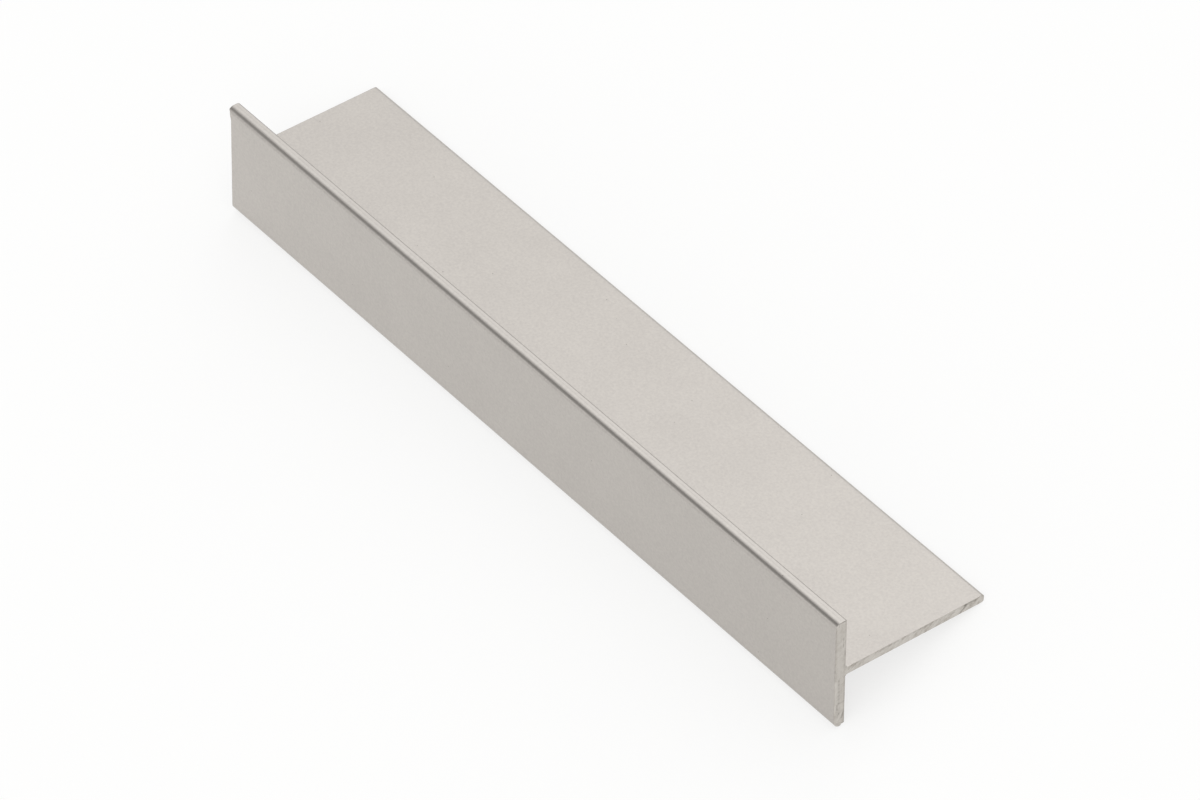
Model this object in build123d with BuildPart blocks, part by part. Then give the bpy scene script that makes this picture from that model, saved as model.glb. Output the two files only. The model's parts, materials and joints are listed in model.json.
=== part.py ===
from build123d import *

import math
import os

# Driving dimensions of the extruded tee, in millimetres
length = 148.0                # cut length of the stock
flange_width = 20.0           # the wide face, from edge to edge
flange_thickness = 2.0
overall_depth = 28.0          # from the flange's front face to the tip of the leg
leg_thickness = 1.4
front_corner_radius = 1.0     # the two soft corners of the flange's front face
back_corner_radius = 0.15     # the two nearly sharp corners behind them
root_radius = 0.4             # where the leg grows out of the flange

# The section has axes of its own. Depth runs from the flange's front face back along the leg,
# and height runs across the flange from the middle of the leg.
half_width = flange_width / 2
nose_radius = leg_thickness / 2
nose_depth = overall_depth - nose_radius
front_arc_height = half_width - front_corner_radius
back_arc_depth = flange_thickness - back_corner_radius
back_arc_height = half_width - back_corner_radius

# Left alone, the tee leans back until it lies on two lines: its heel, which is the flange's lower
# back corner, and the rounded tip of its leg. The floor is the line that touches both of those arcs.
heel_to_nose = math.hypot(nose_depth - back_arc_depth, back_arc_height)
rise_to_nose = math.atan2(back_arc_height, nose_depth - back_arc_depth)
lean = rise_to_nose - math.asin((nose_radius - back_corner_radius) / heel_to_nose)
along = math.cos(lean)
across = math.sin(lean)

# The origin is on the floor, under the middle of the leaning tee's box.
front_reach = front_corner_radius * along - front_arc_height * across - front_corner_radius
back_reach = nose_depth * along + nose_radius
section_y = -(front_reach + back_reach) / 2
section_z = back_arc_depth * across + back_arc_height * along + back_corner_radius
section_plane = Plane(
    origin=(-length / 2, section_y, section_z),
    x_dir=(0, along, -across),
    z_dir=(1, 0, 0),
)

# One extruded piece: the flange, and a leg at its middle with a fully rounded tip
with BuildPart() as tee_profile:
    with BuildSketch(section_plane) as section:
        Rectangle(flange_thickness, flange_width, align=(Align.MIN, Align.CENTER))
        Rectangle(nose_depth, leg_thickness, align=(Align.MIN, Align.CENTER))
        fillet(section.vertices().group_by(Axis.X)[0], front_corner_radius)
        flange_back = section.vertices().group_by(Axis.X)[-2].sort_by(Axis.Y)
        fillet([flange_back[0], flange_back[-1]], back_corner_radius)
        roots = section.vertices().group_by(Axis.X)[-2].sort_by(Axis.Y)[1:-1]
        fillet(roots, root_radius)
        with Locations((nose_depth, 0)):
            Circle(nose_radius)
    extrude(amount=length)
tee_profile.part.label = "tee_profile"

os.makedirs("parts", exist_ok=True)
export_step(tee_profile.part, "parts/tee_profile.step")
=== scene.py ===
"""Dresses a cut length of extruded aluminium tee: its satin anodised skin and its two saw-cut ends."""

import json
import logging
import math
from dataclasses import dataclass, field
from enum import Enum
from typing import Any, Iterable

import bpy
import numpy as np
from bpy.types import Material, Mesh, Node, NodeSocket, NodeTree, Object, World
from mathutils import Matrix, Vector, noise
from mathutils.geometry import delaunay_2d_cdt

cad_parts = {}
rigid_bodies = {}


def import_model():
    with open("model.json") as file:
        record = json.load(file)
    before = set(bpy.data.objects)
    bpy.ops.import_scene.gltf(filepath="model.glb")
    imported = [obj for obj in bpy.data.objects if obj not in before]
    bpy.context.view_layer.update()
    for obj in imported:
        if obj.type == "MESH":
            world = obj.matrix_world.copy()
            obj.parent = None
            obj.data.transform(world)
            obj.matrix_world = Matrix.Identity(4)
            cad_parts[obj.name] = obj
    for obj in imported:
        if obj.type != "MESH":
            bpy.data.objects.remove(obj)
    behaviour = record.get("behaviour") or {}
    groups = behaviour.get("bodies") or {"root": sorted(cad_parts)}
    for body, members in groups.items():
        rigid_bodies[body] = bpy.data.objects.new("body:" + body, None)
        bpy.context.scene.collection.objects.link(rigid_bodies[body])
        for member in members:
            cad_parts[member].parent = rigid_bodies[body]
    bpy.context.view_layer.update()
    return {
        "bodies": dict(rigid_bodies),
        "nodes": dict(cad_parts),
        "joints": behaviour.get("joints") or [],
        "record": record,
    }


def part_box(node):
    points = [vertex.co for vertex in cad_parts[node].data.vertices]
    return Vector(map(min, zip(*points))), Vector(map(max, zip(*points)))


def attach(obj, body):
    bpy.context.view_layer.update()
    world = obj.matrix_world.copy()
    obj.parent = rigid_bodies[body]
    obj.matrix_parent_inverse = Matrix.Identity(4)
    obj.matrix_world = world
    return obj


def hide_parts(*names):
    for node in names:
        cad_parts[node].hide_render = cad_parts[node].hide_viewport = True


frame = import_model()

MM = 0.001
NODE = "tee_profile"
CUT_SIDE = "cut_side"       # point attribute: -1 on the far cut, 1 on the near one, 0 between
# the tone holds painted shade and painted highlights along edges as well as real marks
TONE = "tone"               # point attribute: -1 for dull to 1 for pale
NOISE_RANGE = (0.3, 0.7)    # holds nearly all the values of a noise texture
END_GAP = 0.01              # sets the two ends apart in a noise
log = logging.getLogger("tee_profile")
Pair = tuple[float, float]  # such as a depth and a height, or a first and a last value


class End(Enum):
    """The two cut ends, by the sign of the X that they face."""

    FAR = -1
    NEAR = 1


def mm(*values: float) -> tuple[float, ...]:
    """Turns millimetres into metres."""
    return tuple(value * MM for value in values)


def linear(hex_colour: str) -> tuple[float, float, float, float]:
    """Turns an sRGB hex colour into the linear one that Blender's sockets take.

    Args:
        hex_colour: Six hex digits, with or without the leading hash.

    Returns:
        Linear red, green, blue and an alpha of one.
    """
    digits = hex_colour.lstrip("#")
    shares = [int(digits[i:i + 2], 16) / 255 for i in (0, 2, 4)]
    red, green, blue = [s / 12.92 if s <= 0.04045 else ((s + 0.055) / 1.055) ** 2.4 for s in shares]
    return red, green, blue, 1.0


def add_node(tree: NodeTree, kind: str, inputs: dict[Any, Any] | None = None, **settings: Any) -> Node:
    """Adds a node, makes its settings and fills or links its inputs.

    Args:
        tree: The node tree that gets it.
        kind: The node's type, such as ShaderNodeMath.
        inputs: Values or output sockets, by input name or place.
        **settings: Attributes of the node itself.

    Returns:
        The new node.
    """
    node = tree.nodes.new(kind)
    for name, value in settings.items():
        setattr(node, name, value)
    for key, value in (inputs or {}).items():
        if isinstance(value, NodeSocket):
            tree.links.new(value, node.inputs[key])
        else:
            node.inputs[key].default_value = value
    return node


def empty_material(name: str) -> tuple[Material, NodeTree]:
    """Makes a material with an empty node tree.

    Args:
        name: The real finish.

    Returns:
        The material and its tree.
    """
    material = bpy.data.materials.new(name)
    material.use_nodes = True
    material.node_tree.nodes.clear()
    return material, material.node_tree


def maths(tree: NodeTree, operation: str, *values: Any) -> NodeSocket:
    """Adds a math node on numbers or sockets and gives its result."""
    return add_node(tree, "ShaderNodeMath", dict(enumerate(values)), operation=operation).outputs[0]


def noise_pattern(tree: NodeTree, where: Any, size: float, detail: float,
                  roughness: float = 0.5) -> NodeSocket:
    """Adds a noise with spots of about one size and gives its value."""
    return add_node(tree, "ShaderNodeTexNoise", {
        "Vector": where, "Scale": 1 / size, "Detail": detail, "Roughness": roughness}).outputs["Fac"]


def ramp(tree: NodeTree, value: Any, start: float, end: float, first: float, last: float,
         shape: str = "LINEAR") -> NodeSocket:
    """Maps a value from one range to another, held at both ends.

    Args:
        tree: The node tree.
        value: A socket or a number.
        start: The value that gives first.
        end: The value that gives last.
        first: The result at the start.
        last: The result at the end.
        shape: How it runs between them.

    Returns:
        The mapped value.
    """
    return add_node(tree, "ShaderNodeMapRange", {
        "Value": value, "From Min": start, "From Max": end, "To Min": first, "To Max": last},
        interpolation_type=shape).outputs[0]


def soft_ramp(tree: NodeTree, value: Any, start: float, end: float, first: float,
              last: float) -> NodeSocket:
    """Maps a value as ramp does, with soft ends."""
    return ramp(tree, value, start, end, first, last, "SMOOTHSTEP")


def spread(tree: NodeTree, pattern: Any, first: float, last: float) -> NodeSocket:
    """Maps a noise as ramp does, from the range that nearly all its values lie in."""
    return ramp(tree, pattern, *NOISE_RANGE, first, last)


def mix_colours(tree: NodeTree, share: Any, first: Any, second: Any) -> NodeSocket:
    """Mixes two colours.

    Args:
        tree: The node tree.
        share: The second colour's share.
        first: A colour or a socket.
        second: A colour or a socket.

    Returns:
        The mixed colour.
    """
    return add_node(tree, "ShaderNodeMix", {0: share, 6: first, 7: second}, data_type="RGBA").outputs[2]


def toned(tree: NodeTree, colour: Any, dull: str, pale: str) -> NodeSocket:
    """Makes a colour duller or paler where the tone attribute says so; the tone holds painted shade and
    painted highlights as well as real marks.

    Args:
        tree: A material's tree.
        colour: The colour at a tone of 0.
        dull: The hex colour at a tone of -1.
        pale: The hex colour at a tone of 1.

    Returns:
        The colour with its tone.
    """
    tone = add_node(tree, "ShaderNodeAttribute", attribute_name=TONE).outputs["Fac"]
    dulled = mix_colours(tree, ramp(tree, tone, 0.0, -1.0, 0.0, 1.0), colour, linear(dull))
    return mix_colours(tree, ramp(tree, tone, 0.0, 1.0, 0.0, 1.0), dulled, linear(pale))


def metal(tree: NodeTree, colour: Any, roughness: Any, relief: Any, height: float) -> None:
    """Ends a material's tree in metal with a fine relief.

    Args:
        tree: The material's tree.
        colour: The metal's colour.
        roughness: How widely it scatters a reflection.
        relief: The relief's pattern.
        height: How high, in metres, a pattern of 1 stands over one of 0.
    """
    bump = add_node(tree, "ShaderNodeBump", {"Height": relief, "Distance": height})
    shader = add_node(tree, "ShaderNodeBsdfPrincipled", {
        "Base Color": colour, "Metallic": 1.0, "Roughness": roughness, "Normal": bump.outputs["Normal"]})
    add_node(tree, "ShaderNodeOutputMaterial", {"Surface": shader.outputs[0]})


@dataclass(frozen=True)
class RestingPlace:
    """How the section lies on the floor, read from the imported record's mounts."""

    origin: Vector
    depth: Vector
    height: Vector
    half_length: float

    @classmethod
    def from_frame(cls, packed: dict[str, Any]) -> "RestingPlace":
        """Reads the section's place from the mounts.


        Returns:
            The place of the section's own axes in the frame.
        """
        mounts = {m["name"]: m for m in packed["record"]["mounts"]}
        low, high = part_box(NODE)
        return cls(
            origin=Vector(mounts["front_face"]["pos_m"]),
            depth=Vector(mounts["rebate_back_upper"]["axis"]).normalized(),
            height=Vector(mounts["leg_upper_face"]["axis"]).normalized(),
            half_length=(high[0] - low[0]) / 2,
        )

    def place(self, x: float, depth: float, height: float) -> Vector:
        """Turns a length, a depth and a height into a point of the frame."""
        return self.origin + Vector((x, 0, 0)) + self.depth * depth + self.height * height


@dataclass(frozen=True)
class TeeSection:
    """The tee's cross-section, in metres.

    Depth runs back from the flange's front face, and height runs up from the middle of the leg.
    """

    flange_width: float = 20.0 * MM
    flange_thickness: float = 2.0 * MM
    overall_depth: float = 28.0 * MM
    leg_thickness: float = 1.4 * MM
    front_corner_radius: float = 1.0 * MM
    back_corner_radius: float = 0.15 * MM
    root_radius: float = 0.4 * MM
    run_step: float = 0.25 * MM
    arc_step: float = 0.06 * MM
    fewest_run_steps: int = 8
    fewest_arc_steps: int = 4
    # painted shade: a dark line along the sharp back corners
    back_corner_painted_shade: float = -0.95   # tones run from -1 for dull to 1 for pale
    back_corner_reach: float = 0.285 * MM
    # painted shade: a dark line where the leg's upper face meets its tip
    tip_painted_shade: float = -0.13           # where the leg's upper face meets its rounded tip
    tip_reach: float = 0.56 * MM
    tip_inset: float = 0.28 * MM
    die_line_tone: float = -0.2       # a faint line that the die drew along the flange's upper edge
    die_line_width: float = 0.12 * MM
    die_line_depth: float = 1.31 * MM
    # painted shade round the front's lower corner
    lower_corner_painted_shade: float = -0.1   # half way round the front's lower corner
    # painted shade that deepens the dark reflected line along the front's upper corner
    upper_corner_painted_shade: float = -0.17  # a narrow stretch of the front's upper corner
    upper_corner_reach: float = 0.3 * MM
    upper_corner_depth: float = 0.37 * MM
    upper_corner_drop: float = 0.22 * MM
    upper_corner_fullness: float = 1.2
    # painted highlight along the flange's upper edge
    upper_edge_painted_highlight: float = 0.12
    upper_edge_fullness: float = 1.8  # above 1 for a broad top

    def arcs(self) -> list[tuple[float, float, float, float, float]]:
        """Lists the rounded corners, anticlockwise from the front's lower one.

        Returns:
            For each, its centre's depth and height, its radius and its first and last angle in degrees.
        """
        half, nose = self.flange_width / 2, self.leg_thickness / 2
        front, back, root = self.front_corner_radius, self.back_corner_radius, self.root_radius
        behind = self.flange_thickness - back
        beside = self.flange_thickness + root
        return [
            (front, front - half, front, 180, 270),
            (behind, back - half, back, 270, 360),
            (beside, -nose - root, -root, 0, -90),
            (self.overall_depth - nose, 0.0, nose, -90, 90),
            (beside, nose + root, -root, 90, 0),
            (behind, half - back, back, 0, 90),
            (front, half - front, front, 90, 180),
        ]

    def outline(self) -> tuple[np.ndarray, np.ndarray]:
        """Walks round the section.

        Returns:
            The outline's points and its outward normals, each as rows of depth and height.
        """
        points: list[Pair] = []
        normals: list[Pair] = []
        arcs = self.arcs()
        for arc, following in zip(arcs, arcs[1:] + arcs[:1]):
            depth, height, radius, first, last = arc
            arc_length = abs(radius * math.radians(last - first))
            segments = max(self.fewest_arc_steps, round(arc_length / self.arc_step))
            for step in range(segments + 1):
                angle = math.radians(first + (last - first) * step / segments)
                points.append((depth + radius * math.cos(angle), height + radius * math.sin(angle)))
                normals.append((math.cos(angle), math.sin(angle)))
            depth, height, radius, first, _ = following
            angle = math.radians(first)
            target = (depth + radius * math.cos(angle), height + radius * math.sin(angle))
            start, normal = points[-1], normals[-1]
            count = max(self.fewest_run_steps, round(math.dist(start, target) / self.run_step))
            for step in range(1, count):
                share = step / count
                points.append(tuple(a + (b - a) * share for a, b in zip(start, target)))
                normals.append(normal)
        return np.array(points), np.array(normals)

    def tone(self, depth: float, height: float) -> float:
        """Gives the skin's tone at a point of the outline, from -1 for dull to 1 for pale.

        Args:
            depth: The point's depth.
            height: The point's height.

        Returns:
            Painted shade along the sharp back corners, the leg's tip and the front's corners, a dull die
            line, and a painted highlight along the flange's upper edge.
        """
        half, back, front = self.flange_width / 2, self.back_corner_radius, self.front_corner_radius
        below_top = half - height
        back_corner = math.dist((depth, abs(height)), (self.flange_thickness, half))
        tip = math.dist((depth, height), (self.overall_depth - self.tip_inset, self.leg_thickness / 2))
        die_line = abs(depth - self.die_line_depth) + below_top
        lower_corner = max(0.0, depth - front) + abs(height + half - front / 2)
        painted_shade_centre = (self.upper_corner_depth, self.upper_corner_drop)
        upper_corner = 1 - math.dist((depth, below_top), painted_shade_centre) / self.upper_corner_reach
        edge_middle = (front + self.flange_thickness - back) / 2
        upper_edge = 1 - (abs(depth - edge_middle) + below_top) / front
        # painted shade at the back corners, the tip and the front's corners, the die's own line, and a
        # painted highlight on the upper edge
        return (self.back_corner_painted_shade * ease(1 - back_corner / self.back_corner_reach)
                + self.tip_painted_shade * ease(1 - tip / self.tip_reach)
                + self.die_line_tone * ease(1 - die_line / self.die_line_width)
                + self.lower_corner_painted_shade * ease(1 - lower_corner / front)
                + self.upper_corner_painted_shade * ease(self.upper_corner_fullness * upper_corner)
                + self.upper_edge_painted_highlight * ease(self.upper_edge_fullness * upper_edge))


def ease(share: float) -> float:
    """Smooths a share, held between 0 and 1, at both its ends."""
    share = min(1.0, max(0.0, share))
    return share * share * (3 - 2 * share)


def near_line(spot: Pair, start: Pair, finish: Pair, width: float) -> float:
    """Tells how near a spot lies to a line between two others.

    Args:
        spot: A depth and a height.
        start: The line's first end.
        finish: Its last end.
        width: How far from the line the share falls to 0.

    Returns:
        A share from 1 on the line to 0.
    """
    run, away = Vector(finish) - Vector(start), Vector(spot) - Vector(start)
    foot = min(1.0, max(0.0, away.dot(run) / run.length_squared))
    return max(0.0, 1 - (away - run * foot).length / width)


def inside_by(points: np.ndarray, outline: np.ndarray) -> np.ndarray:
    """Measures how far points lie inside a closed outline.

    Args:
        points: Rows of two coordinates.
        outline: The corners of the outline, in order.

    Returns:
        The distance to the outline, positive inside and negative outside.
    """
    start, end = outline[None], np.roll(outline, -1, axis=0)[None]
    run = end - start
    along = ((points[:, None] - start) * run).sum(-1) / (run ** 2).sum(-1)
    foot = start + run * np.clip(along, 0, 1)[..., None]
    distance = np.sqrt(((points[:, None] - foot) ** 2).sum(-1)).min(1)
    level = points[:, None, 1]
    spans = (start[..., 1] > level) != (end[..., 1] > level)
    rise = np.where(run[..., 1] == 0, 1.0, run[..., 1])
    crossing = start[..., 0] + (level - start[..., 1]) / rise * run[..., 0]
    odd = (spans & (points[:, None, 0] < crossing)).sum(1) % 2 == 1
    return np.where(odd, distance, -distance)


@dataclass(frozen=True)
class SatinAnodised:
    """Clear anodised aluminium, etched matt before the bath.

    The eye gets an even, pale, slightly warm grey with a soft sheen and a grain as fine as a ground glass.
    """

    colour: str = "#C8C3BD"
    grain_colour: str = "#BCB7B2"
    # the tone mixes in these two: painted shade along the corners and front face, the die line, and a
    # painted highlight along the flange's upper edge
    dull_and_shade_colour: str = "#5E5850"
    pale_and_highlight_colour: str = "#E6E3DE"
    speck_colour: str = "#8F8A83"
    roughness: float = 0.3
    roughness_swing: float = 0.01
    grain_size: float = 0.42 * MM  # etch pits are 0.02 mm, drawn as coarse as a render can show
    grain_height: float = 0.006 * MM
    grain_share: float = 0.78      # of the grain's colour, at its darkest
    cloud_size: float = 9.0 * MM
    cloud_share: float = 0.16
    die_line_width: float = 0.35 * MM
    die_line_run: float = 120.0 * MM
    speck_spacing: float = 3.2 * MM
    speck_size: float = 0.11 * MM

    def build(self) -> Material:
        """Makes the finish.

        Returns:
            A material that reads Object coordinates and the tone attribute.
        """
        material, tree = empty_material("satin_anodised_aluminium")
        where = add_node(tree, "ShaderNodeTexCoord").outputs["Object"]
        grain = noise_pattern(tree, where, self.grain_size, detail=2.0, roughness=0.6)
        cloud = noise_pattern(tree, where, self.cloud_size, detail=2.0)
        drawn = add_node(tree, "ShaderNodeMapping", {
            "Vector": where, "Scale": (self.die_line_width / self.die_line_run, 1.0, 1.0)})
        die_lines = noise_pattern(tree, drawn.outputs["Vector"], self.die_line_width, detail=1.0)
        cells = add_node(tree, "ShaderNodeTexVoronoi", {"Vector": where, "Scale": 1 / self.speck_spacing})
        speck_edge = self.speck_size / self.speck_spacing
        speck = ramp(tree, cells.outputs["Distance"], speck_edge / 2, speck_edge, 1.0, 0.0)
        shade = maths(tree, "ADD", spread(tree, cloud, 0.0, self.cloud_share),
                      spread(tree, grain, 0.0, self.grain_share))
        plain = mix_colours(tree, shade, linear(self.colour), linear(self.grain_colour))
        marked = mix_colours(tree, speck, plain, linear(self.speck_colour))
        roughness = spread(tree, cloud, self.roughness - self.roughness_swing,
                           self.roughness + self.roughness_swing)
        metal(tree, toned(tree, marked, self.dull_and_shade_colour, self.pale_and_highlight_colour), roughness,
              maths(tree, "ADD", grain, die_lines), self.grain_height)
        return material


@dataclass(frozen=True)
class SawMarks:
    """The arcs that a circular saw leaves across a cut end, and the fine grit between them."""

    blade_radius: float = 125.0 * MM
    sweep_angle: float = 33.0       # degrees between the marks and the leg, at the section's middle
    ridge_pitch: float = 0.42 * MM  # one tooth's feed, twice its real 0.2 mm so that it shows
    ridge_depth: float = 0.030 * MM
    grit_size: float = 0.16 * MM
    grit_depth: float = 0.010 * MM
    seed: float = 4.0
    bare_from: float = 0.4          # the share in the cut at which the skin ends

    def blade_centre(self, place: RestingPlace) -> Vector:
        """Finds the blade's axis, square to the marks through the flange's middle."""
        angle = math.radians(self.sweep_angle)
        return place.place(0, -self.blade_radius * math.sin(angle), self.blade_radius * math.cos(angle))

    def ridges(self, tree: NodeTree, where: Any, centre: Any, pitch: Any, seed: Any) -> NodeSocket:
        """Adds the nodes that turn a point's distance from the blade's axis into a ridge's height.

        Args:
            tree: A material's or a modifier's tree.
            where: The point's position.
            centre: The blade's axis.
            pitch: The distance between ridges.
            seed: The start of the random run.

        Returns:
            A height between 0 and 1.
        """
        from_axis = add_node(tree, "ShaderNodeVectorMath", {0: where, 1: centre}, operation="SUBTRACT")
        flat = add_node(tree, "ShaderNodeVectorMath", {0: from_axis.outputs[0], 1: (0, 1, 1)},
                        operation="MULTIPLY")
        reach = add_node(tree, "ShaderNodeVectorMath", {0: flat.outputs[0]}, operation="LENGTH")
        seeded = maths(tree, "ADD", maths(tree, "DIVIDE", reach.outputs["Value"], pitch), seed)
        return add_node(tree, "ShaderNodeTexNoise", {
            "W": seeded, "Scale": 1.0, "Detail": 1.0}, noise_dimensions="1D").outputs[0]

    def tree(self) -> tuple[NodeTree, dict[str, str]]:
        """Builds the node tree that presses the marks into a mesh.

        Returns:
            The tree, and its inputs' identifiers by their names.
        """
        tree = bpy.data.node_groups.new("saw_marks", "GeometryNodeTree")
        face = tree.interface
        face.new_socket("Geometry", in_out="OUTPUT", socket_type="NodeSocketGeometry")
        kinds = {"Geometry": "Geometry", "Blade Centre": "Vector"}
        kinds |= dict.fromkeys(("Ridge Pitch", "Ridge Depth", "Grit Size", "Grit Depth", "Seed"), "Float")
        kinds |= dict.fromkeys(("Skin", "Cut"), "Material")
        names = {name: face.new_socket(name, in_out="INPUT", socket_type=f"NodeSocket{kind}").identifier
                 for name, kind in kinds.items()}
        given = add_node(tree, "NodeGroupInput").outputs
        side = add_node(tree, "GeometryNodeInputNamedAttribute", {"Name": CUT_SIDE},
                        data_type="FLOAT").outputs[0]
        where = add_node(tree, "GeometryNodeInputPosition").outputs[0]
        ridges = self.ridges(tree, where, given["Blade Centre"], given["Ridge Pitch"], given["Seed"])
        grit = add_node(tree, "ShaderNodeTexNoise", {
            "Vector": where, "W": given["Seed"], "Scale": maths(tree, "DIVIDE", 1.0, given["Grit Size"]),
            "Detail": 1.0}, noise_dimensions="4D").outputs[0]
        deep = maths(tree, "MULTIPLY", ridges, given["Ridge Depth"])
        sunk = maths(tree, "MULTIPLY_ADD", grit, given["Grit Depth"], deep)
        inward = maths(tree, "MULTIPLY", maths(tree, "MULTIPLY", side, -1.0), sunk)
        offset = add_node(tree, "ShaderNodeCombineXYZ", {"X": inward})
        pressed = add_node(tree, "GeometryNodeSetPosition", {
            "Geometry": given["Geometry"], "Offset": offset.outputs[0]})
        whole = add_node(tree, "GeometryNodeRealizeInstances", {"Geometry": pressed.outputs[0]})
        coated = add_node(tree, "GeometryNodeSetMaterial", {
            "Geometry": whole.outputs[0], "Material": given["Skin"]})
        bare = maths(tree, "GREATER_THAN", maths(tree, "ABSOLUTE", side), self.bare_from)
        sawn = add_node(tree, "GeometryNodeSetMaterial", {
            "Geometry": coated.outputs[0], "Selection": bare, "Material": given["Cut"]})
        add_node(tree, "NodeGroupOutput", {0: sawn.outputs[0]})
        return tree, names

    def press(self, mesh: Mesh, place: RestingPlace, skin: Material, cut: Material) -> Mesh:
        """Presses the marks into both ends of a mesh that carries the cut side attribute.

        Args:
            mesh: The smooth body.
            place: Where the section lies.
            skin: Finish of the extruded faces.
            cut: Finish of the sawn faces.

        Returns:
            A plain mesh with the marks and both finishes.
        """
        tree, names = self.tree()
        carrier = bpy.data.objects.new("saw_marks_carrier", mesh)
        bpy.context.scene.collection.objects.link(carrier)
        modifier = carrier.modifiers.new("saw_marks", "NODES")
        modifier.node_group = tree
        values = {
            "Blade Centre": self.blade_centre(place), "Ridge Pitch": self.ridge_pitch,
            "Ridge Depth": self.ridge_depth, "Grit Size": self.grit_size, "Grit Depth": self.grit_depth,
            "Seed": self.seed, "Skin": skin, "Cut": cut}
        for name, value in values.items():
            modifier[names[name]] = value
        graph = bpy.context.evaluated_depsgraph_get()
        pressed = bpy.data.meshes.new_from_object(carrier.evaluated_get(graph), depsgraph=graph)
        bpy.data.objects.remove(carrier)
        return pressed


@dataclass(frozen=True)
class SawnAluminium:
    """Bare aluminium where the saw went through.

    The eye gets pale and dark patches that follow the blade along the leg, fine tears between them, and a
    flange that the blade left smoother, with faint smears up and down it.
    """

    pale_and_highlight_colour: str = "#DDD9D3"
    colour: str = "#C6C1BA"
    torn_colour: str = "#A49D94"
    dull_and_shade_colour: str = "#4A433B"
    roughness: float = 0.38
    tear_size: float = 0.2 * MM
    tear_height: float = 0.010 * MM
    patch_size: float = 0.9 * MM    # stretches that one tooth smeared and the next one tore
    patch_stretch: float = 2.4
    smear_size: float = 0.35 * MM
    smear_stretch: float = 9.0
    smooth_depth: float = 2.2 * MM  # the flange, where the blade ran smoothly
    smooth_blend: float = 0.3 * MM
    smooth_share: float = 0.3
    ridge_shade: float = 0.3        # the shades add up, from -1 for torn to 1 for pale
    patch_shade: Pair = (-0.6, 0.66)
    smear_shade: float = 0.2
    tear_shade: float = 0.3
    pale_share: float = 0.6         # of the pale colour, at a shade of 1

    def build(self, marks: SawMarks, place: RestingPlace) -> Material:
        """Makes the finish.

        Args:
            marks: The marks that the streaks follow.
            place: Where the section lies.

        Returns:
            A material that reads Object coordinates and the tone attribute.
        """
        material, tree = empty_material("sawn_aluminium")
        where = add_node(tree, "ShaderNodeTexCoord").outputs["Object"]
        ridges = marks.ridges(tree, where, tuple(marks.blade_centre(place)), marks.ridge_pitch, marks.seed)
        tears = noise_pattern(tree, where, self.tear_size, detail=3.0, roughness=0.6)
        lean = math.atan2(place.depth.z, place.depth.y)
        sweep = lean + math.radians(marks.sweep_angle)
        patches = self.streaks(tree, where, sweep, self.patch_size, self.patch_stretch)
        smears = self.streaks(tree, where, lean + math.pi / 2, self.smear_size, self.smear_stretch)
        both = maths(tree, "ADD", spread(tree, ridges, -self.ridge_shade, self.ridge_shade),
                     spread(tree, patches, *self.patch_shade))
        behind = add_node(tree, "ShaderNodeVectorMath", {0: where, 1: tuple(place.depth)},
                          operation="DOT_PRODUCT").outputs["Value"]
        smooth = self.smooth_depth + place.origin.dot(place.depth)
        rough_share = soft_ramp(tree, behind, smooth - self.smooth_blend, smooth + self.smooth_blend,
                                self.smooth_share, 1.0)
        smeared = maths(tree, "MULTIPLY_ADD", both, rough_share,
                        spread(tree, smears, -self.smear_shade, self.smear_shade))
        shade = maths(tree, "ADD", smeared, spread(tree, tears, -self.tear_shade, self.tear_shade))
        bare = mix_colours(tree, ramp(tree, shade, 0.0, 1.0, 0.0, self.pale_share), linear(self.colour),
                           linear(self.pale_and_highlight_colour))
        torn = mix_colours(tree, ramp(tree, shade, 0.0, -1.0, 0.0, 1.0), bare, linear(self.torn_colour))
        # the tone adds painted shade along the cut's rims and a painted highlight on the leg's tip,
        # besides the marks
        metal(tree, toned(tree, torn, self.dull_and_shade_colour, self.pale_and_highlight_colour), self.roughness, tears,
              self.tear_height)
        return material

    def streaks(self, tree: NodeTree, where: Any, angle: float, size: float, stretch: float) -> NodeSocket:
        """Adds a noise that is drawn out along one direction of the cut.

        Args:
            tree: The node tree.
            where: The point's position.
            angle: The direction, in radians from Y towards Z.
            size: How wide a streak is.
            stretch: How many times longer it is.

        Returns:
            A value between 0 and 1.
        """
        turned = add_node(tree, "ShaderNodeMapping", {
            "Vector": where, "Rotation": (angle, 0.0, 0.0), "Scale": (1.0, stretch, 1.0)},
            vector_type="TEXTURE")
        return noise_pattern(tree, turned.outputs["Vector"], size, detail=2.0, roughness=0.6)


@dataclass(frozen=True)
class Spot:
    """A spot of the body before the burrs and scores move it."""

    end: End      # the nearer one
    from_end: float
    depth: float
    height: float
    share: float  # in the cut: 0 on the skin, 1 on the flat of the cut


@dataclass(frozen=True)
class Burr:
    """A lip that the saw pushed out beyond the cut, or a corner worn back from it.

    It follows a line of the section.
    """

    end: End
    start: Pair            # depth and height
    finish: Pair
    width: float           # how far it reaches across the section
    run: float             # and along the length
    proud: float           # below zero for a worn corner
    fullness: float = 1.6  # above 1 for a broad top

    def push(self, spot: Spot) -> float:
        """Gives how far a spot near the line moves outward along the length.

        Args:
            spot: Any spot of the body.

        Returns:
            The move, outward.
        """
        if spot.end is not self.end or spot.from_end > self.run:
            return 0.0
        share = near_line((spot.depth, spot.height), self.start, self.finish, self.width)
        return self.proud * ease(self.fullness * share) * ease(1 - spot.from_end / self.run)


@dataclass(frozen=True)
class CutMark:
    """A score, a stain, a burnished streak, a line of painted shade or a painted highlight on a cut end,
    between two points of the section.
    """

    start: Pair  # depth and height
    finish: Pair
    width: float
    tone: float  # -1 for dull to 1 for pale
    sunk: float = 0.0
    end: End = End.NEAR

    def share(self, spot: Spot) -> float:
        """Gives how strongly the mark shows at a spot of its end, from 0 to 1."""
        return ease(near_line((spot.depth, spot.height), self.start, self.finish, self.width))


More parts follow.
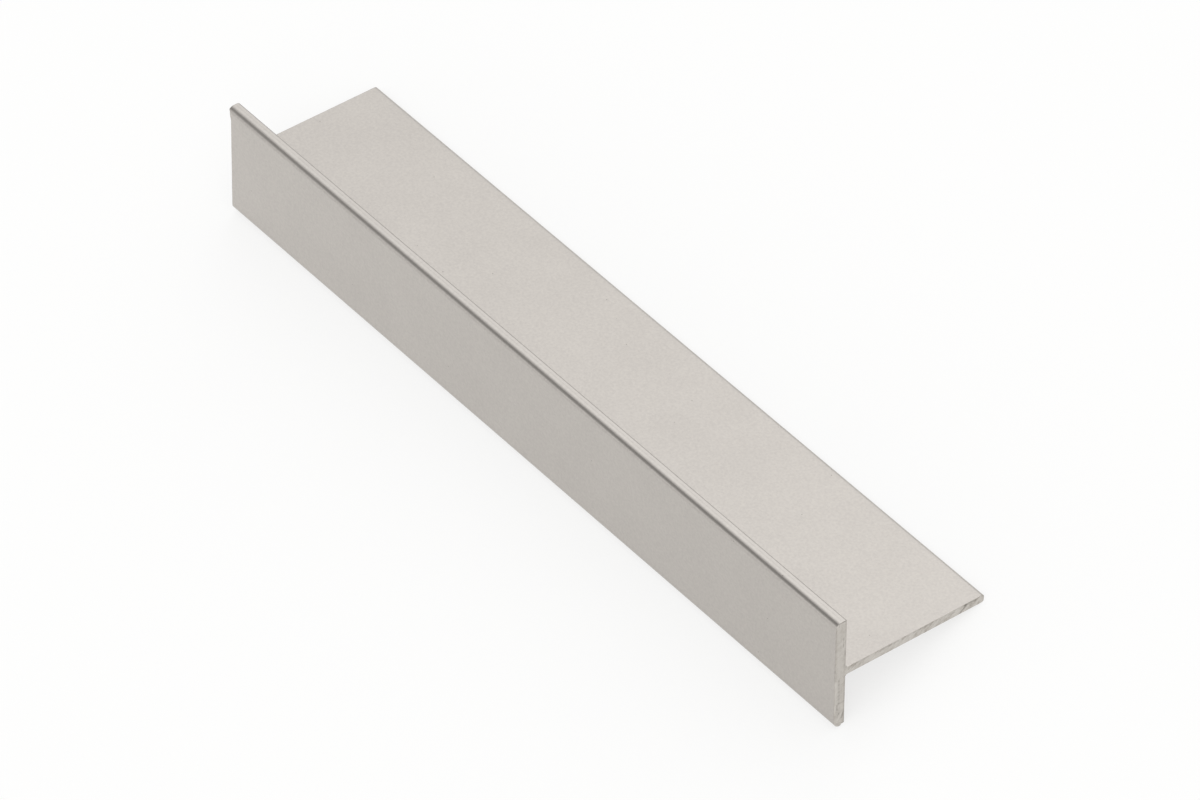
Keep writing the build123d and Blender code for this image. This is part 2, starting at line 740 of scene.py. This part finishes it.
def near_end_marks() -> tuple[CutMark, ...]:
    """Lists what shows on the near cut.

    Returns:
        Its rims darkened with painted shade, a pale tip of painted highlight, the saw's scores and
        streaks, the nick by the leg's tip and the flange's ladder.
    """
    # Each mark's start and finish, as depth and height, its width, its tone and, if it is sunk, how far
    millimetres = {
        # painted shade along the flange's upper rim
        "flange's upper rim": ((0.6, 9.97), (1.95, 9.97), 0.2, -0.55),
        "tick under it": ((0.63, 9.8), (0.63, 9.3), 0.13, -0.3),
        # the next three are painted shade along the cut's front and back rims
        "front rim": ((0.0, 9.2), (0.0, -9.0), 0.5, -0.21),
        "back rim, upper half": ((2.0, 9.6), (2.0, 0.9), 0.5, -0.24),
        "back rim, lower half": ((2.0, -0.9), (2.0, -9.8), 0.42, -0.32),
        "smear on the back rim": ((1.8, 4.1), (1.82, 3.2), 0.32, -0.14),
        "smear by the leg": ((1.8, 1.4), (1.82, 0.5), 0.34, -0.16),
        "first tick by the back rim": ((1.5, 6.75), (1.5, 6.4), 0.17, -0.55, 0.03),
        "line between the ticks": ((1.5, 6.4), (1.48, 5.5), 0.1, -0.22),
        "second tick by the back rim": ((1.48, 5.5), (1.48, 5.05), 0.17, -0.5, 0.03),
        "first tick on the front rim": ((-0.02, 1.0), (-0.02, 0.75), 0.2, -0.4),
        "second tick on the front rim": ((0.0, 0.1), (0.0, -0.3), 0.2, -0.4),
        "pale strip behind the front rim": ((0.24, -1.4), (0.36, -5.4), 0.38, 0.28),
        "brown streak behind the strip": ((0.84, -1.0), (0.88, -5.8), 0.26, -0.13),
        "step below the streak": ((0.75, -5.75), (1.85, -5.7), 0.12, -0.25),
        "tear below the strip": ((0.6, -5.9), (0.62, -6.85), 0.18, -0.5, 0.03),
        "pale patch beside the tear": ((0.18, -5.8), (0.22, -7.6), 0.26, 0.3),
        "pale patch behind the tear": ((1.35, -6.2), (1.45, -7.0), 0.36, 0.25),
        "pale score": ((0.6, -9.15), (1.5, -7.8), 0.19, 0.45),
        "dark score in front of it": ((0.7, -8.3), (0.95, -7.6), 0.19, -0.35, 0.02),
        "dark score behind it": ((1.5, -8.8), (1.68, -7.9), 0.21, -0.4, 0.02),
        "dull wash over the upper half": ((0.9, 8.2), (0.9, 0.8), 1.6, -0.045),
        "dull wash over the lower half": ((0.95, -2.4), (1.0, -7.6), 1.7, -0.09),
        # painted shade along the flange's lower rim and the leg's upper and tip rims, in stretches
        "flange's lower rim": ((0.65, -9.93), (1.9, -9.93), 0.3, -0.3),
        "leg's upper rim": ((2.2, 0.5), (26.8, 0.5), 0.26, -0.1),
        "leg's rim, first dark stretch": ((3.4, 0.55), (6.2, 0.55), 0.18, -0.16),
        "leg's rim, second dark stretch": ((8.9, 0.55), (11.8, 0.5), 0.22, -0.22),
        "leg's rim, third dark stretch": ((14.6, 0.55), (17.8, 0.5), 0.18, -0.2),
        "leg's tip rim": ((27.45, 0.62), (27.95, 0.1), 0.22, -0.4),
        # painted highlight on the leg's worn tip
        "pale tip": ((27.0, -0.05), (27.5, 0.05), 0.5, 0.5),
        "nick by the tip": ((23.2, -0.72), (24.55, 0.42), 0.17, -0.6, 0.12),
        "torn edge above the nick": ((24.3, 0.48), (26.3, 0.42), 0.32, -0.38, 0.05),
        "pale lip of the nick": ((24.15, -0.42), (24.85, 0.12), 0.17, 0.5),
        "tear behind the nick": ((25.3, -0.15), (25.7, 0.05), 0.2, -0.3, 0.02),
        "tear before the nick": ((21.3, 0.3), (22.3, 0.2), 0.22, -0.28, 0.02),
        "pale patch before the nick": ((22.6, -0.2), (23.2, 0.05), 0.3, 0.3),
    }
    first_rung, last_rung, tooth_step = -1.3, -5.6, 0.72
    ladder_front, ladder_back = 0.76, 0.98
    rungs = round((first_rung - last_rung) / tooth_step) + 1
    for rung in range(rungs):
        height = first_rung - rung * tooth_step
        millimetres[f"rung {rung}"] = ((ladder_front, height), (ladder_back, height), 0.22, -0.2, 0.01)
    return tuple(
        CutMark(mm(*start), mm(*finish), width * MM, tone, *mm(*sunk))
        for start, finish, width, tone, *sunk in millimetres.values())


@dataclass
class MeshDraft:
    """The body in the making: its points, each with its side and its tone, and its faces."""

    points: list[tuple[Vector, float, float]] = field(default_factory=list)
    faces: list[list[int]] = field(default_factory=list)

    def wrap(self, count: int) -> None:
        """Joins the rings of points into a tube.

        Args:
            count: How many points each ring has.
        """
        for start in range(0, len(self.points) - count, count):
            for k in range(count):
                here, following = start + k, start + (k + 1) % count
                self.faces.append([here, following, following + count, here + count])

    def mesh(self) -> Mesh:
        """Makes the mesh, shaded smooth.

        Returns:
            A mesh that gives each point's side and tone as attributes.
        """
        places, sides, tones = zip(*self.points)
        mesh = bpy.data.meshes.new("tee_body")
        mesh.from_pydata([tuple(place) for place in places], [], self.faces)
        for attribute, values in ((CUT_SIDE, sides), (TONE, tones)):
            mesh.attributes.new(attribute, "FLOAT", "POINT").data.foreach_set("value", values)
        mesh.polygons.foreach_set("use_smooth", [True] * len(mesh.polygons))
        mesh.update()
        return mesh


@dataclass
class TeeProfile:
    """The one piece: an extruded tee with two sawn ends."""

    place: RestingPlace
    section: TeeSection = field(default_factory=TeeSection)
    marks: SawMarks = field(default_factory=SawMarks)
    arris: float = 0.07 * MM
    arris_segments: int = 3
    arris_wander: float = 0.25
    wander_size: float = 0.8 * MM
    # painted shade along the arris of each cut
    rim_painted_shade: float = -0.1
    uneven_strength: float = 0.75           # of a cut's tones, before its swing
    uneven_swing: float = 0.5
    uneven_size: float = 0.7 * MM
    # painted shade on the front face, darker towards the near end
    front_painted_shade: Pair = (-0.03, -0.12)      # the front's tone at the far and the near end
    cap_grid: float = 0.09 * MM
    cap_margin: float = 0.6                 # of the grid, kept free inside the rim
    near_cut: float = 0.25 * MM             # how far a cut stands back, to leave its burrs room
    far_cut: float = 0.45 * MM
    far_cut_tilt: Pair = (-0.0024, 0.0167)  # for each metre of depth and of height
    end_stations: tuple[float, ...] = mm(0.12, 0.25, 0.45, 0.75, 1.1, 1.5, 2.0, 3.0, 5.0, 9.0)
    middle_step: float = 10.0 * MM
    burrs: tuple[Burr, ...] = (
        Burr(End.FAR, mm(0.2, 9.85), mm(1.5, 9.85), width=0.65 * MM, run=1.8 * MM, proud=0.34 * MM),
        Burr(End.FAR, mm(0.2, 9.85), mm(1.2, 9.85), width=2.2 * MM, run=3.0 * MM, proud=0.27 * MM),
        Burr(End.NEAR, mm(0.2, -9.8), mm(0.9, -9.9), width=0.6 * MM, run=1.5 * MM, proud=0.22 * MM),
        Burr(End.NEAR, mm(27.6, 0.4), mm(27.9, 0.1), width=0.7 * MM, run=1.5 * MM, proud=-0.18 * MM),
    )
    cut_marks: tuple[CutMark, ...] = field(default_factory=near_end_marks)

    def rings(self) -> list[tuple[End, float, float, float]]:
        """Lists the rings of points round the body, from the far cut to the near one.

        Returns:
            For each ring, its nearer end, its distance from that end, its inset and its share in the cut.
        """
        quarter = [math.pi / 2 * i / self.arris_segments for i in range(self.arris_segments + 1)]
        edge = [(self.arris * (1 - math.sin(angle)), self.arris * (1 - math.cos(angle)), math.sin(angle))
                for angle in quarter]
        skin = [(distance, 0.0, 0.0) for distance in self.end_stations]
        first = self.end_stations[-1]
        run = 2 * (self.place.half_length - first)
        count = max(2, round(run / self.middle_step))
        far = [(End.FAR, *ring) for ring in edge[::-1] + skin]
        middle = [(End.FAR, first + run * i / count, 0.0, 0.0) for i in range(1, count)]
        near = [(End.NEAR, *ring) for ring in skin[::-1] + edge]
        return far + middle + near

    def marks_at(self, spot: Spot) -> list[tuple[CutMark, float]]:
        """Lists the cut marks of a spot's end, each with its share at the spot."""
        return [(mark, mark.share(spot)) for mark in self.cut_marks if mark.end is spot.end]

    def point(self, spot: Spot) -> Vector:
        """Places one spot of the body, with the burrs and scores that reach it.

        Args:
            spot: The spot.

        Returns:
            Its point in the frame.
        """
        inset = self.near_cut
        if spot.end is End.FAR:
            tilt = self.far_cut_tilt[0] * spot.depth + self.far_cut_tilt[1] * spot.height
            inset = self.far_cut + tilt
        proud = sum(burr.push(spot) for burr in self.burrs)
        if spot.share > 0:
            proud -= spot.share * sum(mark.sunk * share for mark, share in self.marks_at(spot))
        from_middle = self.place.half_length - inset - spot.from_end + proud
        return self.place.place(spot.end.value * from_middle, spot.depth, spot.height)

    def uneven(self, end: End, depth: float, height: float, size: float) -> float:
        """Gives a smooth random value from -1 to 1, not the same at the two ends."""
        return noise.noise(Vector((depth, height, end.value * END_GAP)) / size)

    def tone(self, spot: Spot, x: float) -> float:
        """Gives the tone of a spot, from -1 for dull to 1 for pale.

        Args:
            spot: The spot.
            x: Where it lies along the length, in the frame.

        Returns:
            The skin's tone with its painted shade and highlight, or the rim's painted shade and the marks'
            tones on a cut.
        """
        if spot.share == 0:
            # painted shade on the front face, growing towards the near end
            first, last = self.front_painted_shade
            painted_shade_here = first + (last - first) * (x / self.place.half_length + 1) / 2
            front_share = ease(1 - spot.depth / self.section.front_corner_radius)
            return self.section.tone(spot.depth, spot.height) + painted_shade_here * front_share
        uneven = self.uneven(spot.end, spot.depth, spot.height, self.uneven_size)
        strength = self.uneven_strength + self.uneven_swing * uneven
        # the rim's painted shade, strongest half way round each arris
        rim = self.rim_painted_shade * (1 - abs(2 * spot.share - 1))
        marks = sum(mark.tone * share for mark, share in self.marks_at(spot))
        return max(-1.0, min(1.0, (rim + marks) * strength))

    def add(self, draft: MeshDraft, spot: Spot) -> None:
        """Adds one spot of the body to the draft."""
        point = self.point(spot)
        draft.points.append((point, spot.end.value * spot.share, self.tone(spot, point.x)))

    def cap(self, outline: np.ndarray) -> tuple[np.ndarray, list[list[int]]]:
        """Fills a cut end with small triangles.

        Args:
            outline: The cap's own outline, in metres.

        Returns:
            The inner points, and triangles that number the outline first and the inner points after it.
        """
        step = self.cap_grid
        low, high = outline.min(0), outline.max(0)
        rows = np.arange(low[1], high[1], step * math.sqrt(3) / 2)
        grid = np.array([(depth, height) for row, height in enumerate(rows)
                         for depth in np.arange(low[0] + row % 2 * step / 2, high[0], step)])
        chunks = np.array_split(grid, 40)  # few points at a time, for small tables
        room = np.concatenate([inside_by(chunk, outline) for chunk in chunks])
        inner = grid[room > self.cap_margin * step]
        points = np.concatenate([outline, inner]) / MM
        loop = list(range(len(outline)))
        only_inside, merge_distance = 1, 1e-6
        result = delaunay_2d_cdt([Vector(p) for p in points], [], [loop], only_inside, merge_distance)
        if len(result[0]) != len(points):
            raise ValueError("the cap's triangles moved or merged its points")
        back = [origin[0] for origin in result[3]]
        return inner, [[back[i] for i in face] for face in result[2]]

    def close(self, draft: MeshDraft, end: End, first: int, rim: np.ndarray) -> None:
        """Closes one end of the body with its cut.

        Args:
            draft: The body so far.
            end: The end to close.
            first: The number of the end ring's first point.
            rim: The end ring's depths and heights.
        """
        inner, triangles = self.cap(rim)
        base = len(draft.points)
        for depth, height in inner:
            self.add(draft, Spot(end, 0.0, depth, height, 1.0))
        count = len(rim)
        for triangle in triangles:
            numbered = [first + i if i < count else base + i - count for i in triangle]
            draft.faces.append(numbered[::end.value])

    def body(self) -> Mesh:
        """Builds the closed body with smooth ends.

        Returns:
            A mesh that gives each point's side and tone as attributes.
        """
        outline, normals = self.section.outline()
        draft = MeshDraft()
        rims: list[np.ndarray] = []
        for end, from_end, inset, share in self.rings():
            rim = np.zeros_like(outline)
            for k, ((depth, height), (out_depth, out_height)) in enumerate(zip(outline, normals)):
                wander = 1 + self.arris_wander * self.uneven(end, depth, height, self.wander_size)
                rim[k] = depth - out_depth * inset * wander, height - out_height * inset * wander
                reach = from_end * wander if from_end <= self.arris else from_end
                self.add(draft, Spot(end, reach, *rim[k], share))
            rims.append(rim)
        last_ring = len(draft.points) - len(outline)
        draft.wrap(len(outline))
        self.close(draft, End.FAR, 0, rims[0])
        self.close(draft, End.NEAR, last_ring, rims[-1])
        return draft.mesh()

    def build(self) -> Object:
        """Makes the finished piece in place of the plain node.

        Returns:
            The dressed object.
        """
        cut = SawnAluminium().build(self.marks, self.place)
        mesh = self.marks.press(self.body(), self.place, SatinAnodised().build(), cut)
        mesh.name = "tee_profile_finished"
        piece = bpy.data.objects.new("tee_profile_finished", mesh)
        bpy.context.scene.collection.objects.link(piece)
        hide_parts(NODE)
        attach(piece, "root")
        return piece


@dataclass(frozen=True)
class Studio:
    """A pale floor under a soft sky that is bright behind the leg and before the flange.

    Between the two is a dimmer patch, high up on the left. The flange's front upper corner reflects it to
    the camera, as the dark line along that corner.
    """

    floor_size: float = 6.0
    floor_drop: float = 0.02 * MM  # keeps the floor clear of the two lines that the object rests on
    floor_colour: str = "#949493"
    floor_lift: float = 0.7        # a glow that shows and is reflected, but lights nothing
    back_light: float = 1.52
    front_light: float = 1.69
    gap_light: float = 0.33
    gap_middle: float = -0.24      # all places here are parts of a direction of length one
    gap_inner: float = 0.05
    gap_outer: float = 0.85
    gap_foot: Pair = (0.15, 0.45)
    gap_left: Pair = (-0.85, -0.6)
    gap_right: Pair = (-0.4, 0.05)
    horizon_light: float = 0.55    # the sky is dimmer by these factors low down, far left and right
    horizon: Pair = (0.2, 0.29)
    left_light: float = 0.48
    left_fade: Pair = (-0.9, -0.38)
    right_light: float = 0.69
    right_fade: Pair = (-0.4, 0.1)

    def floor(self) -> Object:
        """Lays the floor just under the object.

        Returns:
            The floor.
        """
        half = self.floor_size / 2
        corners = ((-half, -half), (half, -half), (half, half), (-half, half))
        mesh = bpy.data.meshes.new("floor")
        mesh.from_pydata([(x, y, -self.floor_drop) for x, y in corners], [], [(0, 1, 2, 3)])
        material, tree = empty_material("pale_floor")
        rays = add_node(tree, "ShaderNodeLightPath").outputs
        seen = maths(tree, "MAXIMUM", rays["Is Camera Ray"], rays["Is Glossy Ray"])
        shown = maths(tree, "MAXIMUM", seen, rays["Is Transmission Ray"])
        matt = add_node(tree, "ShaderNodeBsdfDiffuse", {"Color": linear(self.floor_colour)})
        glow = add_node(tree, "ShaderNodeEmission", {
            "Strength": maths(tree, "MULTIPLY", shown, self.floor_lift)})
        both = add_node(tree, "ShaderNodeAddShader", {0: matt.outputs[0], 1: glow.outputs[0]})
        add_node(tree, "ShaderNodeOutputMaterial", {"Surface": both.outputs[0]})
        mesh.materials.append(material)
        floor = bpy.data.objects.new("floor", mesh)
        bpy.context.scene.collection.objects.link(floor)
        return floor

    def light(self) -> World:
        """Lights the object from all round.

        Returns:
            The scene's world.
        """
        world = bpy.data.worlds.new("soft_lights")
        bpy.context.scene.world = world
        world.use_nodes = True
        tree = world.node_tree
        tree.nodes.clear()
        toward = add_node(tree, "ShaderNodeTexCoord").outputs["Generated"]
        x, y, z = add_node(tree, "ShaderNodeSeparateXYZ", {0: toward}).outputs
        across = maths(tree, "SUBTRACT", y, self.gap_middle)
        reach = (self.gap_inner + self.gap_outer) / 2
        lights = soft_ramp(tree, across, -reach, reach, self.front_light, self.back_light)
        gap = soft_ramp(tree, maths(tree, "ABSOLUTE", across), self.gap_inner, self.gap_outer, 1.0, 0.0)
        for factor in (soft_ramp(tree, z, *self.gap_foot, 0.0, 1.0),
                       soft_ramp(tree, x, *self.gap_left, 0.0, 1.0),
                       soft_ramp(tree, x, *self.gap_right, 1.0, 0.0)):
            gap = maths(tree, "MULTIPLY", gap, factor)
        level = add_node(tree, "ShaderNodeMix", {"Factor": gap, "A": lights, "B": self.gap_light},
                         data_type="FLOAT").outputs[0]
        for factor in (soft_ramp(tree, z, *self.horizon, self.horizon_light, 1.0),
                       soft_ramp(tree, x, *self.left_fade, self.left_light, 1.0),
                       soft_ramp(tree, x, *self.right_fade, 1.0, self.right_light)):
            level = maths(tree, "MULTIPLY", level, factor)
        sky = add_node(tree, "ShaderNodeBackground", {"Color": (1, 1, 1, 1), "Strength": level})
        add_node(tree, "ShaderNodeOutputWorld", {"Surface": sky.outputs[0]})
        return world


@dataclass(frozen=True)
class Camera:
    """The photograph's view, found by fitting a camera to the object's straight edges."""

    turn: float = 51.997                  # degrees round from square on to the front face
    rise: float = 41.017                  # degrees above the leg's plane
    roll: float = 0.344
    focal_px: float = 8980.8
    distance: float = 1.33347
    image_px: Pair = (1200.0, 800.0)
    middle_px: Pair = (522.757, 409.402)  # where the middle of the front face shows
    sensor: float = 36.0
    clip: Pair = (0.01, 50.0)

    def stand(self, place: RestingPlace) -> Object:
        """Stands the camera over the object as the photograph has it.

        Args:
            place: Where the section lies.

        Returns:
            The camera, which is made the scene's own.
        """
        turn, rise, roll = (math.radians(a) for a in (self.turn, self.rise, self.roll))
        x_axis = Vector((1, 0, 0))
        back = (x_axis * (math.cos(rise) * math.sin(turn))
                - place.depth * (math.cos(rise) * math.cos(turn))
                + place.height * math.sin(rise))
        right = x_axis * math.cos(turn) + place.depth * math.sin(turn)
        up = back.cross(right)
        right, up = (right * math.cos(roll) + up * math.sin(roll),
                     up * math.cos(roll) - right * math.sin(roll))
        across = (self.middle_px[0] - self.image_px[0] / 2) / self.focal_px
        down = (self.middle_px[1] - self.image_px[1] / 2) / self.focal_px
        data = bpy.data.cameras.new("camera")
        data.sensor_width = self.sensor
        data.lens = self.focal_px / self.image_px[0] * self.sensor
        data.clip_start, data.clip_end = self.clip
        camera = bpy.data.objects.new("camera", data)
        bpy.context.scene.collection.objects.link(camera)
        spot = place.place(0, 0, 0) - (right * across - up * down - back) * self.distance
        camera.matrix_world = Matrix.Translation(spot) @ Matrix((right, up, back)).transposed().to_4x4()
        bpy.context.scene.camera = camera
        return camera


def main() -> None:
    """Builds the finished piece, then the studio and the camera."""
    logging.basicConfig(level=logging.INFO, format="%(name)s: %(message)s")
    bpy.context.scene.view_settings.view_transform = "Standard"
    place = RestingPlace.from_frame(frame)
    piece = TeeProfile(place).build()
    log.info("%s: %d faces", piece.name, len(piece.data.polygons))
    studio = Studio()
    log.info("%s laid", studio.floor().name)
    log.info("%s lit", studio.light().name)
    camera = Camera().stand(place)
    log.info("%s at %s", camera.name, tuple(round(v, 4) for v in camera.location))


if __name__ == "__main__":
    main()
